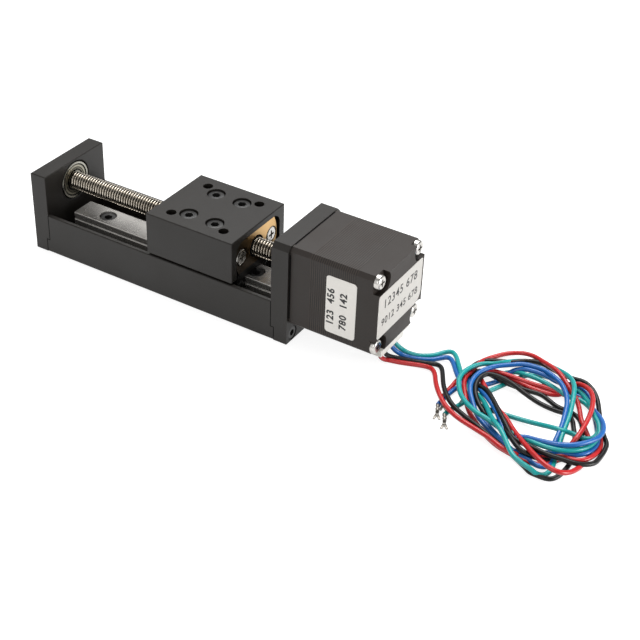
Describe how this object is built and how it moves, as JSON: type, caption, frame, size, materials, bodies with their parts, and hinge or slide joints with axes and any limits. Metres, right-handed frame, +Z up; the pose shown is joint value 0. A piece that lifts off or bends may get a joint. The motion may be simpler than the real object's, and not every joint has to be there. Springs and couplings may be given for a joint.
{
  "type": "motorized linear stage",
  "caption": "Compact screw-driven linear stage: a table on a ball rail guide in a channel base, moved by a lead screw on a small square stepping motor with loose coiled wires.",
  "frame": {"origin": "under the middle of the stage without its wires, on the plane it stands on", "axes": "+X along the travel towards the motor, +Y across to the far side, +Z up"},
  "size_m": [0.2042, 0.0513, 0.0353],
  "materials": {
    "black_anodised": "fine matt black anodised aluminium",
    "black_screw": "black oxide alloy steel",
    "ground_steel": "ground bearing steel",
    "bright_screw": "nickel plated steel",
    "black_plastic": "black moulded acetal",
    "rubber_seal": "black nitrile rubber",
    "wire_black": "black PVC insulation",
    "wire_blue": "blue PVC insulation",
    "wire_green": "green PVC insulation",
    "wire_red": "red PVC insulation",
    "screw_steel": "rolled stainless thread",
    "motor_black": "satin black coated die-cast bell",
    "motor_laminations": "black coated steel laminations, fine horizontal grain",
    "copper": "enamelled copper wire",
    "rotor_steel": "punched electrical steel",
    "magnet": "nickel plated magnet",
    "brass_nut": "turned brass or bronze",
    "outlet_white": "white nylon",
    "tinned": "tin plated brass sheet"
  },
  "bodies": {
    "root": {"base_channel": "black_anodised", "base_screws": "black_screw", "bearing_plate": "black_anodised", "bearing_wave_washer": "ground_steel", "end_bearing_balls": "bright_screw", "end_bearing_outer_ring": "ground_steel", "end_bearing_shields": "ground_steel", "guide_rail": "ground_steel", "lead_black": "wire_black", "lead_blue": "wire_blue", "lead_green": "wire_green", "lead_red": "wire_red", "motor_front_bearing_balls": "bright_screw", "motor_front_bearing_outer_ring": "ground_steel", "motor_front_bearing_shields": "ground_steel", "motor_front_bell": "motor_black", "motor_mount_screws": "black_screw", "motor_plate": "black_anodised", "motor_rear_bearing_balls": "bright_screw", "motor_rear_bearing_outer_ring": "ground_steel", "motor_rear_bearing_shields": "ground_steel", "motor_rear_bell": "motor_black", "motor_stator_core": "motor_laminations", "motor_through_screws": "bright_screw", "motor_windings": "copper", "rail_screws": "black_screw", "tail_black": "wire_black", "tail_blue": "wire_blue", "tail_green": "wire_green", "tail_red": "wire_red", "wire_coil": "wire_green", "wire_connector": "outlet_white", "wire_terminals": "tinned"},
    "carriage": {"carriage_table": "black_anodised", "guide_balls": "bright_screw", "guide_block": "ground_steel", "guide_cap_screws": "bright_screw", "guide_end_caps": "black_plastic", "guide_end_seals": "rubber_seal", "nut_screws": "bright_screw", "screw_nut": "brass_nut", "table_screws": "black_screw"},
    "screw": {"end_bearing_inner_ring": "ground_steel", "lead_screw": "screw_steel", "motor_front_bearing_inner_ring": "ground_steel", "motor_rear_bearing_inner_ring": "ground_steel", "rotor_front_section": "rotor_steel", "rotor_magnet": "magnet", "rotor_rear_section": "rotor_steel"}
  },
  "joints": [
    {"name": "screw_spin", "type": "hinge", "parent": "root", "child": "screw", "pos_m": [0, 0, 0.021], "axis": [1, 0, 0], "range_deg": [-4215, 13792]},
    {"name": "carriage_slide", "type": "slide", "parent": "root", "child": "carriage", "axis": [1, 0, 0], "range_m": [-0.0383, 0.0117]}
  ],
  "couplings": [
    {"joint": "screw_spin", "follows": "carriage_slide", "rad_per_m": -6283.2}
  ]
}
